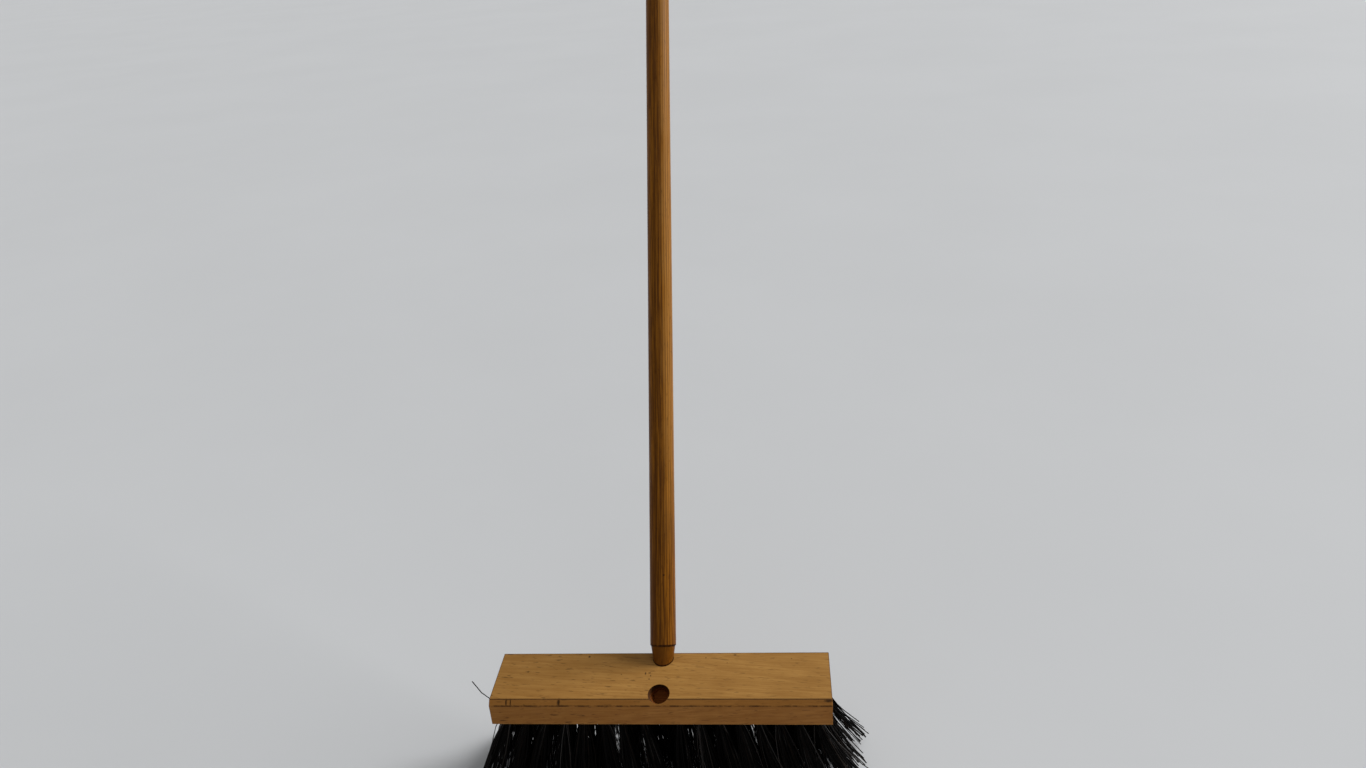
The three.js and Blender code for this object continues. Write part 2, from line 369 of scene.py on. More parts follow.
def ease_rims(mesh, ease):
    """Rounds the sockets' mouths, which are the upper edges between the faces and the bored walls."""
    bm = bmesh.new()
    bm.from_mesh(mesh)
    lowest = block_high.z - RIM_CHAMFERS * chamfer
    rims = []
    for edge in bm.edges:
        kinds = {face.material_index for face in edge.link_faces}
        near_socket = all(abs(vert.co.x) < pole_radius and vert.co.z > lowest for vert in edge.verts)
        if kinds == {FACE, BORE} and near_socket:
            rims.append(edge)
    if not rims:
        raise RuntimeError("the block has no socket rims to ease")
    ease_edges(bm, rims, ease, RIM_STEPS, material=FACE)
    bm.to_mesh(mesh)
    bm.free()


def shade_faces(piece, degrees):
    """Smooth shading up to an angle, with the wide faces kept flat."""
    piece.data.shade_smooth()
    piece.data.set_sharp_from_angle(angle=math.radians(degrees))
    flat = piece.modifiers.new("flat faces", "WEIGHTED_NORMAL")
    flat.keep_sharp = True


def handle_mesh(handle):
    """The pole: a taper with an eased end, a shoulder and a rounded top."""
    shoulder = handle.shoulder_height
    profile = [(0, taper_end)]
    profile += rounded(taper_radius(taper_end), taper_end, handle.end_ease, EASE_STEPS, LOWER)
    profile.append((taper_radius(shoulder), shoulder))
    profile += rounded(pole_radius, shoulder, handle.shoulder_ease, EASE_STEPS, LOWER)
    profile += rounded(pole_radius, pole_top, handle.top_round, TOP_STEPS, UPPER)
    profile.append((0, pole_top))
    bm = bmesh.new()
    turned(bm, profile, handle.sides)
    bmesh.ops.recalc_face_normals(bm, faces=list(bm.faces))
    return mesh_from("handle", bm)


# Meshes of the bristles

FIBRE_SIDES = 4
# Shares of a fibre's length below the block, from inside its hole to its tip
FIBRE_RINGS = np.array([-0.07, 0.0, 0.08, 0.24, 0.48, 0.74, 1.0])
# Least and greatest thickness, in diameters
FIBRE_THICKNESS = (0.75, 1.15)
# How the fan grows towards the block's ends, and a tuft's spread on its way down
FAN_POWER = 1.71
SPREAD_POWER = 0.92
# The last tufts' outward spread that is held back, their added inward spread, and how both set in
HOLD_LEFT = 0.95
HOLD_RIGHT = 0.09
INNER_SPREAD = 0.65
HOLD_POWER = 16
# How far from the block's middle the tufts lean in under the sockets
CLOSING_REACH = 0.0203
# Usual share of a fibre's length that is worn off
WORN_SHARE = 0.012
FLOOR_CLEARANCE = 0.0005
# One loose fibre at the left end, from inside the block to its tip
STRAY_FIBRE = (
    (-0.1624, 0.0300, -0.0230),
    (-0.1628, 0.0302, -0.0300),
    (-0.1690, 0.0306, -0.0480),
    (-0.1830, 0.0308, -0.0640),
    (-0.2000, 0.0308, -0.0640),
    (-0.2110, 0.0306, -0.0520),
    (-0.2190, 0.0300, -0.0350),
)


def settled_along(bristles, centres, out, aside):
    """How far the tips lie aside along the block, with the rows, the ends and the sockets allowed for."""
    aside = aside + bristles.row_lean * (-1.0) ** np.searchsorted(rows, centres[:, 1:])
    at_end = np.clip(out**HOLD_POWER, 0, 1)
    held = np.where(out < 0, HOLD_LEFT, HOLD_RIGHT) * at_end
    aside = aside * np.where(aside * out > 0, 1 - held, 1 + INNER_SPREAD * at_end)
    near_socket = np.exp(-((centres[:, :1] / CLOSING_REACH) ** 2))
    return aside - bristles.closing * np.sign(centres[:, :1]) * near_socket


def end_fan(bristles, out, over, below):
    """How far the fibres lean out along the block, ring by ring, with a curl at the right end."""
    fan = np.sign(out) * np.abs(out) ** FAN_POWER * (1 + bristles.fan_skew * out * over)
    curl = np.where(out > 0, bristles.fan_curl, 0)
    return fan * ((bristles.fan_along - curl) * below + curl * below**2)


def tip_lift(bristles, out):
    """How far the tips are off the floor, rising smoothly towards the block's ends."""
    to_end = np.clip(1 - (1 - np.abs(out)) * last_column / bristles.lifted_end, 0, 1)
    return bristles.end_lift * to_end**2 * (3 - 2 * to_end) + FLOOR_CLEARANCE


def fibre_paths(bristles, bank_tufts, rng):
    """The lines that a bank's fibres follow, as an array of fibres, rings and metres."""
    centres = np.repeat(np.array(bank_tufts), bristles.fibres, axis=0)
    count = len(centres)
    turn = rng.uniform(0, 2 * math.pi, count)
    outness = np.sqrt(rng.uniform(0, 1, (count, 1)))
    circle = np.column_stack((np.cos(turn), np.sin(turn)))
    root = outness * bristles.root_radius * circle
    loose = rng.uniform(0, 1, (count, 1)) < bristles.loose_share
    wander = rng.normal(0, 1, (count, 2)) * np.where(loose, bristles.loose_stray, bristles.stray)
    leaning = np.repeat(rng.normal(0, bristles.tuft_lean, (len(bank_tufts), 2)), bristles.fibres, axis=0)
    bow_turn = rng.uniform(0, 2 * math.pi, count)
    bow = rng.normal(0, bristles.bow, (count, 1)) * np.column_stack((np.cos(bow_turn), np.sin(bow_turn)))
    worn = np.abs(rng.normal(0, WORN_SHARE, (count, 1)))
    out = (centres[:, :1] + root[:, :1]) / last_column
    over = (centres[:, 1:] + root[:, 1:]) / last_row
    aside = outness * bristles.tip_radius * circle - root + wander + leaning
    aside[:, :1] = settled_along(bristles, centres, out, aside[:, :1])
    below = np.clip(FIBRE_RINGS, 0, 1)[None, :]
    sweep = bristles.sweep * below * (below - out**2)
    fans = (end_fan(bristles, out, over, below) + sweep, bristles.fan_across * over * below)
    paths = np.empty((count, len(FIBRE_RINGS), 3))
    for axis, fan in enumerate(fans):
        spread = aside[:, axis, None] * below**SPREAD_POWER + bow[:, axis, None] * np.sin(math.pi * below)
        paths[:, :, axis] = centres[:, axis, None] + root[:, axis, None] + spread + fan
    hanging = (block_low.z - sole) * (1 - worn) - tip_lift(bristles, out)
    paths[:, :, 2] = block_low.z - hanging * FIBRE_RINGS
    return paths


def tubes(name, paths, radii, turns):
    """One mesh of closed tubes along the paths, each with a radius and a turn of its own."""
    count, rings, _ = paths.shape
    tangents = np.gradient(paths, axis=1)
    tangents /= np.linalg.norm(tangents, axis=2, keepdims=True)
    side = np.cross(tangents, (0.0, 1.0, 0.0))
    side /= np.linalg.norm(side, axis=2, keepdims=True)
    front = np.cross(side, tangents)
    angles = turns[:, None] + 2 * math.pi * np.arange(FIBRE_SIDES)[None, :] / FIBRE_SIDES
    angles = angles[:, None, :, None]
    across = np.cos(angles) * side[:, :, None, :] + np.sin(angles) * front[:, :, None, :]
    points = paths[:, :, None, :] + radii[:, None, None, None] * across
    corners = np.arange(count * rings * FIBRE_SIDES).reshape(count, rings, FIBRE_SIDES)
    after = np.roll(corners, -1, axis=2)
    walls = np.stack((corners[:, :-1], after[:, :-1], after[:, 1:], corners[:, 1:]), axis=-1)
    walls = walls.reshape(-1, 4)
    caps = np.concatenate((corners[:, 0, ::-1], corners[:, -1]))
    mesh = bpy.data.meshes.new(name)
    mesh.from_pydata(points.reshape(-1, 3), [], np.concatenate((walls, caps)))
    mesh.polygons.foreach_set("use_smooth", np.arange(len(walls) + len(caps)) < len(walls))
    return mesh


def point_attribute(mesh, name, values):
    """Gives each point of a mesh a number that the material reads."""
    numbers = np.ascontiguousarray(values, np.float32).ravel()
    mesh.attributes.new(name, "FLOAT", "POINT").data.foreach_set("value", numbers)


# Node trees

# Vector operations that give one number
TO_NUMBER = ("DISTANCE", "LENGTH", "DOT_PRODUCT")


def fill(tree, made, inputs):
    """Links or sets a node's inputs, by name or number."""
    for key, value in inputs.items():
        if isinstance(value, bpy.types.NodeSocket):
            tree.links.new(value, made.inputs[key])
        else:
            made.inputs[key].default_value = value


def node(tree, kind, inputs=None, **settings):
    """Adds a node, sets its properties and fills its inputs."""
    made = tree.nodes.new(kind)
    for name, value in settings.items():
        setattr(made, name, value)
    fill(tree, made, inputs or {})
    return made


def maths(tree, operation, *values):
    return node(tree, "ShaderNodeMath", dict(enumerate(values)), operation=operation).outputs[0]


def scaled(tree, first, second):
    return maths(tree, "MULTIPLY", first, second)


def strongest(tree, first, *others):
    """The greatest of some masks at each point."""
    for other in others:
        first = maths(tree, "MAXIMUM", first, other)
    return first


def vector_maths(tree, operation, *values):
    made = node(tree, "ShaderNodeVectorMath", dict(enumerate(values)), operation=operation)
    return made.outputs["Value" if operation in TO_NUMBER else "Vector"]


def ramp(tree, value, low, high, to_low=0.0, to_high=1.0):
    """A smooth step of value from low to high."""
    inputs = {"Value": value, "From Min": low, "From Max": high, "To Min": to_low, "To Max": to_high}
    return node(tree, "ShaderNodeMapRange", inputs, interpolation_type="SMOOTHSTEP").outputs["Result"]


def mixed(tree, factor, first, second, blend="MIX"):
    """A mix of two colours. The node numbers its colour inputs 6 and 7, and its colour output 2."""
    inputs = {0: factor, 6: first, 7: second}
    return node(tree, "ShaderNodeMix", inputs, data_type="RGBA", blend_type=blend).outputs[2]


def noise(tree, vector, scale, detail=2.0, roughness=0.5, distortion=0.0):
    inputs = {
        "Vector": vector, "Scale": scale, "Detail": detail, "Roughness": roughness, "Distortion": distortion
    }
    return node(tree, "ShaderNodeTexNoise", inputs).outputs[0]


def sized_noise(tree, vector, size, **kind):
    """Noise whose patches are about this size."""
    return noise(tree, vector, maths(tree, "DIVIDE", 1.0, size), **kind)


def combined(tree, x, y, z):
    return node(tree, "ShaderNodeCombineXYZ", {0: x, 1: y, 2: z}).outputs[0]


def separated(tree, vector):
    return node(tree, "ShaderNodeSeparateXYZ", {0: vector}).outputs


def new_group(name, inputs, outputs):
    """An empty node group, the sockets that feed it, and its end node."""
    tree = bpy.data.node_groups.new(name, "ShaderNodeTree")
    tree.interface.new_socket("Vector", in_out="INPUT", socket_type="NodeSocketVector")
    for way, names in (("INPUT", inputs), ("OUTPUT", outputs)):
        for socket in names:
            tree.interface.new_socket(socket, in_out=way, socket_type="NodeSocketFloat")
    return tree, tree.nodes.new("NodeGroupInput").outputs, tree.nodes.new("NodeGroupOutput")


# How far each pattern of the grain is drawn out along X
DRIFT_STRETCH = (0.12, 1.0, 1.0)
STREAK_STRETCH = (0.022, 1.0, 1.0)
PORE_STRETCH = (0.17, 1.0, 1.0)
DRIFT_SCALE = 22.0
# Where in a growth ring the late wood sets in, and at what noise a pore does
LATE_WOOD = (0.30, 0.97)
PORE_EDGE = (0.62, 0.74)


def make_wood_grain():
    """Grain along X: growth rings about a line under the board, fine streaks, and short dark pores."""
    inputs = ("Ring Spacing", "Pith Depth", "Wander", "Streak Size", "Pore Size")
    tree, given, made = new_group("wood_grain", inputs, ("Rings", "Streaks", "Pores"))
    apart = separated(tree, given["Vector"])
    slow = vector_maths(tree, "MULTIPLY", given["Vector"], DRIFT_STRETCH)
    drift = maths(tree, "SUBTRACT", noise(tree, slow, DRIFT_SCALE, detail=3.0, roughness=0.55), 0.5)
    drift = scaled(tree, drift, given["Wander"])
    depth = maths(tree, "ADD", apart[2], given["Pith Depth"])
    around = vector_maths(tree, "LENGTH", combined(tree, 0.0, apart[1], depth))
    rings = maths(tree, "DIVIDE", maths(tree, "ADD", around, drift), given["Ring Spacing"])
    rings = ramp(tree, maths(tree, "FRACT", rings), *LATE_WOOD)
    fine = vector_maths(tree, "MULTIPLY", given["Vector"], STREAK_STRETCH)
    streaks = sized_noise(tree, fine, given["Streak Size"], detail=3.0, roughness=0.6)
    short = vector_maths(tree, "MULTIPLY", given["Vector"], PORE_STRETCH)
    pores = ramp(tree, sized_noise(tree, short, given["Pore Size"], detail=1.0), *PORE_EDGE)
    fill(tree, made, {"Rings": rings, "Streaks": streaks, "Pores": pores})


RAGGED_SCALE = 900.0
RAGGED_SHARE = 0.6
# Noise under which a line without cover is bare, and what full cover takes off it
BARE_LEVEL = 0.65
COVER_GAIN = 0.45
BREAK_EDGE = 0.22


def make_soiled_line():
    """Dirt along a line: strongest on it, gone a width away, and broken up along its length."""
    inputs = ("Distance", "Width", "Break Length", "Cover")
    tree, given, made = new_group("soiled_line", inputs, ("Mask",))
    ragged = scaled(tree, noise(tree, given["Vector"], RAGGED_SCALE), given["Width"])
    near = maths(tree, "SUBTRACT", given["Distance"], scaled(tree, ragged, RAGGED_SHARE))
    line = ramp(tree, maths(tree, "DIVIDE", near, given["Width"]), 0.0, 1.0, 1.0, 0.0)
    bare = maths(tree, "SUBTRACT", BARE_LEVEL, scaled(tree, given["Cover"], COVER_GAIN))
    patches = sized_noise(tree, given["Vector"], given["Break Length"], detail=6.0, roughness=0.8)
    breaks = ramp(tree, maths(tree, "SUBTRACT", patches, bare), 0.0, BREAK_EDGE)
    fill(tree, made, {"Mask": scaled(tree, line, breaks)})


BLOTCH_EDGE = (0.25, 0.75)
SPECK_EDGE = (0.025, 0.05)
SCRATCH_STRETCH = (0.03, 1.0, 1.0)
SCRATCH_SCALE = 600.0
SCRATCH_EDGE = (0.66, 0.72)


def make_handling_marks():
    """Soft blotches from handling, scattered dark specks, and fine scratches along X."""
    inputs = ("Blotch Size", "Speck Spacing")
    tree, given, made = new_group("handling_marks", inputs, ("Blotches", "Specks", "Scratches"))
    blotches = sized_noise(tree, given["Vector"], given["Blotch Size"], detail=4.0, roughness=0.6)
    spacing = maths(tree, "DIVIDE", 1.0, given["Speck Spacing"])
    cells = node(tree, "ShaderNodeTexVoronoi", {"Vector": given["Vector"], "Scale": spacing}).outputs
    hair = vector_maths(tree, "MULTIPLY", given["Vector"], SCRATCH_STRETCH)
    scratches = noise(tree, hair, SCRATCH_SCALE, distortion=0.4)
    fill(tree, made, {
        "Blotches": ramp(tree, blotches, *BLOTCH_EDGE),
        "Specks": ramp(tree, cells["Distance"], *SPECK_EDGE, 1.0, 0.0),
        "Scratches": ramp(tree, scratches, *SCRATCH_EDGE),
    })


GROUPS = {
    "wood_grain": make_wood_grain,
    "soiled_line": make_soiled_line,
    "handling_marks": make_handling_marks,
}


def grouped(tree, name, **inputs):
    """Places a shared group, building it the first time, and returns its outputs."""
    if name not in bpy.data.node_groups:
        GROUPS[name]()
    inputs = {key.replace("_", " ").title(): value for key, value in inputs.items()}
    return node(tree, "ShaderNodeGroup", inputs, node_tree=bpy.data.node_groups[name]).outputs


def soiled_line(tree, point, distance, width, cover, broken):
    """Dirt along a line that is some distance away."""
    made = grouped(
        tree, "soiled_line", vector=point, distance=distance, width=width, cover=cover, break_length=broken
    )
    return made["Mask"]


# Width, in the spot's own size, cover and length of a break
SPOT_DIRT = (0.9, 1.0, 0.002)


def soiled_spot(tree, point, centre, size):
    """Dirt in an oval spot."""
    away = vector_maths(tree, "DIVIDE", vector_maths(tree, "SUBTRACT", point, centre), size)
    return soiled_line(tree, point, vector_maths(tree, "LENGTH", away), *SPOT_DIRT)


def new_material(name):
    """A material, its tree and shader, and the shaded point in its piece's own coordinates."""
    material = bpy.data.materials.new(name)
    material.use_nodes = True
    tree = material.node_tree
    point = node(tree, "ShaderNodeTexCoord").outputs["Object"]
    return material, tree, tree.nodes["Principled BSDF"], point


def bump(tree, height, strength, distance):
    inputs = {"Height": height, "Strength": strength, "Distance": distance}
    return node(tree, "ShaderNodeBump", inputs).outputs["Normal"]


# Finish of the block. A cover is the share of a colour that is laid over the wood

BOARD_TURN = {"Rotation": (0.05, 0.035, 0.075), "Location": (0.0, -0.03, 0.0)}
RING_PLACE = {"ring_spacing": 0.0062, "pith_depth": 0.052}
BOARD_GRAIN = {**RING_PLACE, "wander": 0.020, "streak_size": 0.0021, "pore_size": 0.0017}
BOARD_MARKS = {"blotch_size": 0.045, "speck_spacing": 0.024}
# How squarely a face looks along an axis, from not at all to fully
SQUARE_ON = (0.7, 0.95)
# Painted warm bounce light: a redder, slightly darker tint on the block's sides
PAINTED_BOUNCE_TINT = (1.10, 0.90, 0.76, 1.0)
END_TINT = (0.86, 0.78, 0.66, 1.0)
# Cover on the long faces and on the ends
RING_COVER = (0.26, 0.60)
BOARD_STREAKS = (0.35, 0.65, 0.0, 0.46)
BOARD_BLOTCH_COVER = 0.40
# How much darker the wood is made towards the left end
LEFT_END_DARKENING = 0.22
# Cover towards the left end and towards the right end
BOARD_PORE_COVER = (0.62, 0.34)
BOARD_SPECK_COVER = 0.7
# Painted shade laid over the front chamfer
PAINTED_CHAMFER_SHADE = 0.42
CHAMFER_BLEND = 0.0004
BOARD_SOIL_COVER = 0.9
# Width, cover and length of a break of the worn lower front edge
WORN_EDGE = (0.0012, 0.8, 0.05)
WORN_COVER = 0.6
BOARD_ROUGHNESS = (0.46, 0.62)
BOARD_SPECULAR = 0.12
BOARD_STREAK_HEIGHT = 0.6
BOARD_SOIL_DEPTH = 1.5
BOARD_BUMP = (0.35, 0.0002)
# Middle and half size of each pit and scratch
PITS = (
    ((-0.0816, 0.0296, 0.0), (0.0016, 0.0019, 0.004)),
    ((-0.0170, 0.0030, 0.0), (0.0010, 0.0026, 0.004)),
    ((-0.0126, 0.0038, 0.0), (0.0018, 0.0011, 0.004)),
    ((-0.0112, -0.0004, 0.0), (0.0008, 0.0016, 0.004)),
    ((-0.0124, -0.0056, 0.0), (0.0010, 0.0012, 0.004)),
    ((0.0774, 0.0314, 0.0), (0.0022, 0.0012, 0.004)),
    ((0.1740, -0.0362, -0.0012), (0.0060, 0.0022, 0.0022)),
)


def edge_distance(tree, apart, place):
    """How far a point is from an edge: place holds the edge's two coordinates, and None along it."""
    across = [0.0 if at is None else apart[axis] for axis, at in enumerate(place)]
    return vector_maths(tree, "DISTANCE", combined(tree, *across), tuple(at or 0.0 for at in place))


def soiled_edges():
    """The block's edges that hold dirt: place, width, cover and length of a break."""
    front, back = block_low.y, block_high.y
    top, side = block_high.z, block_high.z - chamfer
    edges = [
        ((None, front + chamfer, top), 0.0008, 1.0, 0.020),
        ((None, front, side), 0.0010, 0.58, 0.014),
        ((None, back - chamfer, top), 0.0009, 0.9, 0.030),
        ((None, back, side), 0.0007, 0.55, 0.035),
    ]
    for end in (block_low.x, block_high.x):
        edges.append(((end, None, top), 0.0008, 0.9, 0.020))
        edges += [((end, face, None), 0.0007, 0.6, 0.015) for face in (front, back)]
    return edges


def block_soil(tree, block, point, apart):
    """Dirt along the block's edges, and in its pits and nicks."""
    masks = []
    for place, *line in soiled_edges():
        masks.append(soiled_line(tree, point, edge_distance(tree, apart, place), *line))
    spots = list(PITS)
    for x, widths in NICKS:
        middle = chamfer_middle + Vector((x, 0, 0))
        spots.append((tuple(middle), (block.nick_width * widths, chamfer, chamfer)))
    masks += [soiled_spot(tree, point, *spot) for spot in spots]
    return strongest(tree, *masks)


def board_colour(tree, block, apart, grain, marks):
    """The block's wood before it is soiled, with a painted warm bounce light on its sides, its ends tinted,
    and darker towards its left end.
    """
    facing = separated(tree, node(tree, "ShaderNodeTexCoord").outputs["Normal"])
    endwise = maths(tree, "ABSOLUTE", facing[0])
    at_end = ramp(tree, endwise, *SQUARE_ON)
    ringed = ramp(tree, at_end, 0.0, 1.0, *RING_COVER)
    wood = mixed(tree, scaled(tree, grain["Rings"], ringed), block.pale, block.dark)
    wood = mixed(tree, ramp(tree, grain["Streaks"], *BOARD_STREAKS), wood, block.dark)
    wood = mixed(tree, scaled(tree, marks["Blotches"], BOARD_BLOTCH_COVER), wood, block.dark)
    # Painted warm bounce light on the sides
    bounce_lit_sides = ramp(tree, maths(tree, "MAXIMUM", facing[2], endwise), *SQUARE_ON, 1.0, 0.0)
    wood = mixed(tree, bounce_lit_sides, wood, PAINTED_BOUNCE_TINT, "MULTIPLY")
    wood = mixed(tree, at_end, wood, END_TINT, "MULTIPLY")
    # Darker towards the left end
    towards_left_end = ramp(tree, apart[0], block_low.x, 0.0, LEFT_END_DARKENING, 0.0)
    return mixed(tree, towards_left_end, wood, block.dark)


def front_chamfer(tree, apart):
    """A mask of the front chamfer's face, where shade is painted."""
    front, low = block_low.y + chamfer, block_high.z - chamfer
    behind = ramp(tree, apart[1], front - CHAMFER_BLEND, front, 1.0, 0.0)
    above = ramp(tree, apart[2], low - CHAMFER_BLEND, low)
    return scaled(tree, behind, above)


def block_wood(block):
    """Planed pale hardwood under a thin worn lacquer, soiled along its edges and in its pores."""
    material, tree, shader, point = new_material("block_wood")
    apart = separated(tree, point)
    board = node(tree, "ShaderNodeMapping", {"Vector": point, **BOARD_TURN}).outputs[0]
    grain = grouped(tree, "wood_grain", vector=board, **BOARD_GRAIN)
    marks = grouped(tree, "handling_marks", vector=point, **BOARD_MARKS)
    wood = board_colour(tree, block, apart, grain, marks)
    flecked = ramp(tree, apart[0], block_low.x / 2, block_high.x / 2, *BOARD_PORE_COVER)
    wood = mixed(tree, scaled(tree, grain["Pores"], flecked), wood, block.soil)
    wood = mixed(tree, scaled(tree, marks["Specks"], BOARD_SPECK_COVER), wood, block.soil)
    # Painted shade on the front chamfer
    wood = mixed(tree, scaled(tree, front_chamfer(tree, apart), PAINTED_CHAMFER_SHADE), wood, block.dark)
    soil = block_soil(tree, block, point, apart)
    wood = mixed(tree, scaled(tree, soil, BOARD_SOIL_COVER), wood, block.soil)
    away = edge_distance(tree, apart, (None, block_low.y, block_low.z))
    worn = soiled_line(tree, point, away, *WORN_EDGE)
    wood = mixed(tree, scaled(tree, worn, WORN_COVER), wood, block.pale)
    dents = maths(tree, "ADD", grain["Pores"], scaled(tree, soil, BOARD_SOIL_DEPTH))
    height = maths(tree, "SUBTRACT", scaled(tree, grain["Streaks"], BOARD_STREAK_HEIGHT), dents)
    fill(tree, shader, {
        "Base Color": wood,
        "Roughness": ramp(tree, marks["Blotches"], 0.0, 1.0, *BOARD_ROUGHNESS),
        "Specular IOR Level": BOARD_SPECULAR,
        "Normal": bump(tree, height, *BOARD_BUMP),
    })
    return material


BORE_GRAIN = {**RING_PLACE, "wander": 0.012, "streak_size": 0.0011, "pore_size": 0.0009}
BORE_STREAKS = (0.3, 0.7)
BORE_STREAK_COVER = 0.5
# How many chamfers deep the painted shade at a socket's mouth begins, and is at its full cover
SHADE_CHAMFERS = (2.4, 1.1)
PAINTED_SHADE_COVER = 0.9
BORE_ROUGHNESS = (0.7, 0.85)
BORE_SPECULAR = 0.15
BORE_BUMP = (0.5, 0.0004)


def bored_wood(block):
    """Scorched wood inside the holes, darkened with painted shade towards the sockets' mouths."""
    material, tree, shader, point = new_material("bored_wood")
    grain = grouped(tree, "wood_grain", vector=point, **BORE_GRAIN)
    streaked = ramp(tree, grain["Streaks"], *BORE_STREAKS, 0.0, BORE_STREAK_COVER)
    wood = mixed(tree, streaked, block.inside, block.soil)
    # Painted shade on the bored walls towards the sockets' mouths
    low, high = (block_high.z - chamfers * chamfer for chamfers in SHADE_CHAMFERS)
    painted_shade = ramp(tree, separated(tree, point)[2], low, high, 0.0, PAINTED_SHADE_COVER)
    fill(tree, shader, {
        "Base Color": mixed(tree, painted_shade, wood, block.soil),
        "Roughness": ramp(tree, grain["Streaks"], *BORE_STREAKS, *BORE_ROUGHNESS),
        "Specular IOR Level": BORE_SPECULAR,
        "Normal": bump(tree, grain["Streaks"], *BORE_BUMP),
    })
    return material


# Finish of the handle

POLE_TURN = (0.7, 0.004, 0.006)
POLE_GRAIN = {
    "ring_spacing": 0.0030, "pith_depth": 0.055, "wander": 0.005, "streak_size": 0.0012, "pore_size": 0.0012
}
POLE_MARKS = {"blotch_size": 0.09, "speck_spacing": 0.03}
POLE_RING_COVER = 0.66
POLE_STREAKS = (0.42, 0.58, 0.0, 0.80)
POLE_BLOTCH_COVER = 0.20
POLE_SCRATCH_COVER = 0.22
POLE_PORE_COVER = 0.35
POLE_SPECK_COVER = 0.8
POLE_DIRT_AND_SHADOW_COVER = 0.9
# Where across the pole the painted highlight begins and is full, and how far streaks and blotches shift it
HIGHLIGHT_EDGE = (0.0065, 0.0130)
HIGHLIGHT_RAGGED = 0.006
HIGHLIGHT_WANDER = 0.004
# Heights between which it sets in, and its cover on early and on late wood
HIGHLIGHT_START = (0.04, 0.30)
HIGHLIGHT_COVER = (0.56, 0.20)
BARE_COVER = 0.72
BARE_BLEND = 0.0003
# Width, cover and length of a break of the dirt on the shoulder, and of the painted shadow where the taper
# meets the socket's rim
SHOULDER_DIRT = (0.0013, 0.8, 0.03)
RIM_PAINTED_SHADOW = (0.0014, 0.9, 0.03)
# Middle and half size
POLE_DENT = ((0.0029, -0.0137, 0.0890), (0.0014, 0.0030, 0.0012))
POLE_ROUGHNESS = (0.30, 0.44)
SCRATCH_ROUGHNESS = 0.2
SCRATCH_DEPTH = 0.5
POLE_SPECULAR = 0.07
POLE_BUMP = (0.25, 0.0002)


def painted_highlight_side(tree, apart, grain, marks):
    """A mask of the painted highlight: a paler colour along the pole's right side, where the key light
    falls, ragged along its edge.
    """
    across = maths(tree, "MULTIPLY_ADD", grain["Streaks"], HIGHLIGHT_RAGGED, apart[0])
    across = maths(tree, "MULTIPLY_ADD", marks["Blotches"], HIGHLIGHT_WANDER, across)
    side = scaled(tree, ramp(tree, across, *HIGHLIGHT_EDGE), ramp(tree, apart[2], *HIGHLIGHT_START))
    return scaled(tree, side, ramp(tree, grain["Rings"], 0.0, 1.0, *HIGHLIGHT_COVER))


def pole_dirt_and_shadow(tree, handle, point, apart):
    """Dirt on the shoulder and in the pole's dent, and a painted shadow where the taper meets the socket's
    rim.
    """
    away = maths(tree, "SUBTRACT", apart[2], handle.shoulder_height + handle.shoulder_ease / 2)
    shoulder = soiled_line(tree, point, maths(tree, "ABSOLUTE", away), *SHOULDER_DIRT)
    # Painted shadow in the crease where the taper meets the socket's rim
    upright = socket_place(1).to_3x3().transposed() @ Vector((0, 0, 1))
    away = maths(tree, "ABSOLUTE", vector_maths(tree, "DOT_PRODUCT", point, tuple(upright)))
    rim = soiled_line(tree, point, away, *RIM_PAINTED_SHADOW)
    return strongest(tree, shoulder, rim, soiled_spot(tree, point, *POLE_DENT))


def handle_wood(handle):
    """Amber lacquered hardwood with grain along the pole, a painted highlight along its right side, a
    painted shadow at the socket's rim, and a barer taper.
    """
    material, tree, shader, point = new_material("handle_wood")
    apart = separated(tree, point)
    along = combined(tree, apart[2], apart[0], apart[1])
    pole = node(tree, "ShaderNodeMapping", {"Vector": along, "Rotation": POLE_TURN}).outputs[0]
    grain = grouped(tree, "wood_grain", vector=pole, **POLE_GRAIN)
    marks = grouped(tree, "handling_marks", vector=along, **POLE_MARKS)
    wood = mixed(tree, scaled(tree, grain["Rings"], POLE_RING_COVER), handle.pale, handle.dark)
    wood = mixed(tree, ramp(tree, grain["Streaks"], *POLE_STREAKS), wood, handle.dark)
    wood = mixed(tree, scaled(tree, marks["Blotches"], POLE_BLOTCH_COVER), wood, handle.dark)
    # Painted highlight along the pole's right side
    wood = mixed(tree, painted_highlight_side(tree, apart, grain, marks), wood, handle.painted_highlight)
    wood = mixed(tree, scaled(tree, marks["Scratches"], POLE_SCRATCH_COVER), wood, handle.pale)
    shoulder = handle.shoulder_height
    bare = ramp(tree, apart[2], shoulder - BARE_BLEND, shoulder, BARE_COVER, 0.0)
    wood = mixed(tree, bare, wood, handle.taper_wood)
    dark = strongest(
        tree,
        scaled(tree, pole_dirt_and_shadow(tree, handle, point, apart), POLE_DIRT_AND_SHADOW_COVER),
        scaled(tree, grain["Pores"], POLE_PORE_COVER),
        scaled(tree, marks["Specks"], POLE_SPECK_COVER),
    )
    smooth = ramp(tree, marks["Blotches"], 0.0, 1.0, *POLE_ROUGHNESS)
    dents = maths(tree, "MULTIPLY_ADD", marks["Scratches"], SCRATCH_DEPTH, dark)
    fill(tree, shader, {
        "Base Color": mixed(tree, dark, wood, handle.soil),
        "Roughness": maths(tree, "MULTIPLY_ADD", marks["Scratches"], SCRATCH_ROUGHNESS, smooth),
        "Specular IOR Level": POLE_SPECULAR,
        "Normal": bump(tree, maths(tree, "SUBTRACT", grain["Streaks"], dents), *POLE_BUMP),
    })
    return material


# Finish of the bristles and of the floor

FIBRE_MARKS = {"blotch_size": 0.012, "speck_spacing": 0.02}
